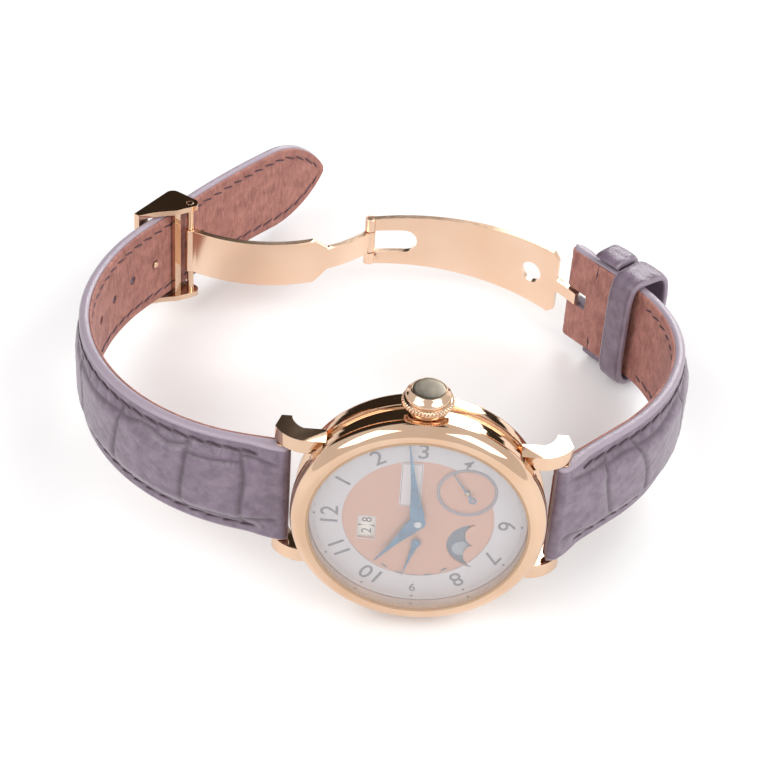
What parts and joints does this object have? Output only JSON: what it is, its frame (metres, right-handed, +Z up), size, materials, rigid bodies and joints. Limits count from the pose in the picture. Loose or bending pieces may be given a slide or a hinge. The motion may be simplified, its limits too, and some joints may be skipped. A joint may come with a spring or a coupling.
{
  "type": "wristwatch",
  "caption": "Wristwatch with moon phase, large date, power reserve and small seconds on a leather strap with a folding clasp, standing on its side.",
  "frame": {"origin": "centre of the bounding box at the height of the table that the watch stands on", "axes": "+Z up as the watch stands on its nine o'clock side, +Y from the dial towards the clasp, +X from twelve to six o'clock"},
  "size_m": [0.1028, 0.1042, 0.0457],
  "materials": {
    "alligator_leather": "semi-matte",
    "blued_steel": "polished",
    "chapter_grey": "satin",
    "date_enamel": "satin",
    "dial_satin": "satin",
    "lining_leather": "matte",
    "moon_enamel": "gloss",
    "nickel_plate": "satin",
    "rose_gold": "polished",
    "ruby": "polished",
    "sapphire_crystal": "polished",
    "seal_rubber": "matte",
    "steel": "satin",
    "wheel_brass": "satin"
  },
  "bodies": {
    "watch_case": {"mid_case": "rose_gold", "bezel": "rose_gold", "front_crystal": "sapphire_crystal", "crystal_gasket": "seal_rubber", "case_back": "rose_gold", "back_gasket": "seal_rubber", "back_crystal": "sapphire_crystal", "case_back_screws": "steel", "crown_tube": "steel", "lug_spring_bars": "steel", "movement_ring": "nickel_plate", "dial_plate": "dial_satin", "chapter_ring": "chapter_grey", "seconds_ring": "rose_gold", "blank_plate": "dial_satin", "disc_posts": "steel", "main_plate": "nickel_plate", "train_bridge": "nickel_plate", "barrel_bridge": "nickel_plate", "balance_cock": "nickel_plate", "pallet_bridge": "steel", "bridge_screws": "steel", "jewels": "ruby", "hairspring": "steel", "rotor_post": "steel"},
    "winding_pinion": {"winding_pinion": "steel"},
    "crown_and_stem": {"crown": "rose_gold", "winding_stem": "steel"},
    "seconds": {"seconds_hand": "blued_steel", "fourth_wheel": "wheel_brass"},
    "minutes": {"minute_hand": "blued_steel", "centre_wheel": "wheel_brass"},
    "hours": {"hour_hand": "blued_steel", "hour_wheel": "wheel_brass"},
    "third_wheel": {"third_wheel": "wheel_brass"},
    "escape_wheel": {"escape_wheel": "steel"},
    "mainspring_barrel": {"mainspring_barrel": "wheel_brass"},
    "pallet_fork": {"pallet_fork": "steel"},
    "balance": {"balance_wheel": "wheel_brass"},
    "reserve_hand": {"reserve_hand": "blued_steel"},
    "moon_disc": {"moon_disc": "moon_enamel"},
    "date_units_disc": {"date_units_disc": "date_enamel"},
    "date_tens_disc": {"date_tens_disc": "date_enamel"},
    "rotor": {"rotor_carrier": "nickel_plate", "rotor_weight": "rose_gold"},
    "strap_long": {"strap_long_upper": "alligator_leather", "strap_long_lining": "lining_leather", "buckle_frame": "rose_gold", "buckle_stud": "rose_gold", "buckle_pin": "steel"},
    "inner_blade": {"clasp_inner_blade": "rose_gold"},
    "outer_blade": {"clasp_outer_blade": "rose_gold", "clasp_hinge_pin": "steel"},
    "strap_short": {"strap_short_upper": "alligator_leather", "strap_short_lining": "lining_leather", "fixed_keeper": "alligator_leather", "strap_end_bar": "steel"},
    "free_keeper": {"free_keeper": "alligator_leather"}
  },
  "joints": [
    {"name": "crown_turn", "type": "hinge", "parent": "watch_case", "child": "winding_pinion", "pos_m": [0.00852, -0.04236, 0.03401], "axis": [0.0457, 0.1486, 0.9878], "continuous": true},
    {"name": "crown_pull", "type": "slide", "parent": "winding_pinion", "child": "crown_and_stem", "axis": [0.0457, 0.1486, 0.9878], "range_m": [0, 0.0012]},
    {"name": "seconds_turn", "type": "hinge", "parent": "watch_case", "child": "seconds", "pos_m": [0.01542, -0.0418, 0.02737], "axis": [-0.0069, 0.9889, -0.1484], "continuous": true},
    {"name": "minutes_turn", "type": "hinge", "parent": "watch_case", "child": "minutes", "pos_m": [0.00795, -0.04361, 0.02167], "axis": [-0.0069, 0.9889, -0.1484], "continuous": true},
    {"name": "hours_turn", "type": "hinge", "parent": "watch_case", "child": "hours", "pos_m": [0.00797, -0.04589, 0.02201], "axis": [-0.0069, 0.9889, -0.1484], "continuous": true},
    {"name": "third_wheel_turn", "type": "hinge", "parent": "watch_case", "child": "third_wheel", "pos_m": [0.0111, -0.04261, 0.0255], "axis": [-0.0069, 0.9889, -0.1484], "continuous": true},
    {"name": "escape_wheel_turn", "type": "hinge", "parent": "watch_case", "child": "escape_wheel", "pos_m": [0.01787, -0.04318, 0.02408], "axis": [-0.0069, 0.9889, -0.1484], "continuous": true},
    {"name": "barrel_turn", "type": "hinge", "parent": "watch_case", "child": "mainspring_barrel", "pos_m": [0.00226, -0.04334, 0.01769], "axis": [-0.0069, 0.9889, -0.1484], "continuous": true},
    {"name": "pallet_fork_rock", "type": "hinge", "parent": "watch_case", "child": "pallet_fork", "pos_m": [0.01749, -0.04364, 0.02103], "axis": [-0.0069, 0.9889, -0.1484], "range_deg": [-6, 6]},
    {"name": "balance_swing", "type": "hinge", "parent": "watch_case", "child": "balance", "pos_m": [0.01707, -0.04337, 0.01746], "axis": [-0.0069, 0.9889, -0.1484], "range_deg": [-270, 270], "deforming": ["hairspring"]},
    {"name": "power_reserve", "type": "hinge", "parent": "watch_case", "child": "reserve_hand", "pos_m": [0.00776, -0.04727, 0.01752], "axis": [-0.0069, 0.9889, -0.1484], "range_deg": [-55.6, 24.4]},
    {"name": "moon_phase", "type": "hinge", "parent": "watch_case", "child": "moon_disc", "pos_m": [0.01734, -0.04704, 0.01694], "axis": [-0.0069, 0.9889, -0.1484], "continuous": true},
    {"name": "date_units", "type": "hinge", "parent": "watch_case", "child": "date_units_disc", "pos_m": [0.00018, -0.04591, 0.02527], "axis": [-0.0069, 0.9889, -0.1484], "continuous": true},
    {"name": "date_tens", "type": "hinge", "parent": "watch_case", "child": "date_tens_disc", "pos_m": [-0.00021, -0.04717, 0.0169], "axis": [-0.0069, 0.9889, -0.1484], "continuous": true},
    {"name": "rotor_turn", "type": "hinge", "parent": "watch_case", "child": "rotor", "pos_m": [0.00793, -0.04094, 0.02127], "axis": [-0.0069, 0.9889, -0.1484], "continuous": true},
    {"name": "long_strap_turn", "type": "hinge", "parent": "watch_case", "child": "strap_long", "pos_m": [-0.01383, -0.04253, 0.02251], "axis": [0.0457, 0.1486, 0.9878], "range_deg": [-3, 3]},
    {"name": "buckle_pivot", "type": "hinge", "parent": "strap_long", "child": "inner_blade", "pos_m": [-0.03608, 0.02083, 0.01401], "axis": [0.0457, 0.1486, 0.9878], "range_deg": [-35, 1]},
    {"name": "clasp_fold", "type": "hinge", "parent": "inner_blade", "child": "outer_blade", "pos_m": [-0.00403, 0.02769, 0.0115], "axis": [0.0457, 0.1486, 0.9878], "range_deg": [0, 60]},
    {"name": "short_strap_turn", "type": "hinge", "parent": "watch_case", "child": "strap_short", "pos_m": [0.02972, -0.04253, 0.0205], "axis": [0.0457, 0.1486, 0.9878], "range_deg": [-2, 2]},
    {"name": "keeper_slide", "type": "slide", "parent": "strap_short", "child": "free_keeper", "axis": [-0.6628, 0.7444, -0.0813], "range_m": [-0.003, 0.0008]}
  ],
  "couplings": [
    {"joint": "minutes_turn", "follows": "seconds_turn", "ratio": 0.016667},
    {"joint": "hours_turn", "follows": "seconds_turn", "ratio": 0.0013889},
    {"joint": "third_wheel_turn", "follows": "seconds_turn", "ratio": -0.13333},
    {"joint": "escape_wheel_turn", "follows": "seconds_turn", "ratio": -10},
    {"joint": "barrel_turn", "follows": "seconds_turn", "ratio": -0.0020833},
    {"joint": "long_strap_turn", "follows": "clasp_fold", "ratio": 0.0367},
    {"joint": "buckle_pivot", "follows": "clasp_fold", "ratio": -0.568},
    {"joint": "short_strap_turn", "follows": "clasp_fold", "ratio": 0.0167}
  ]
}
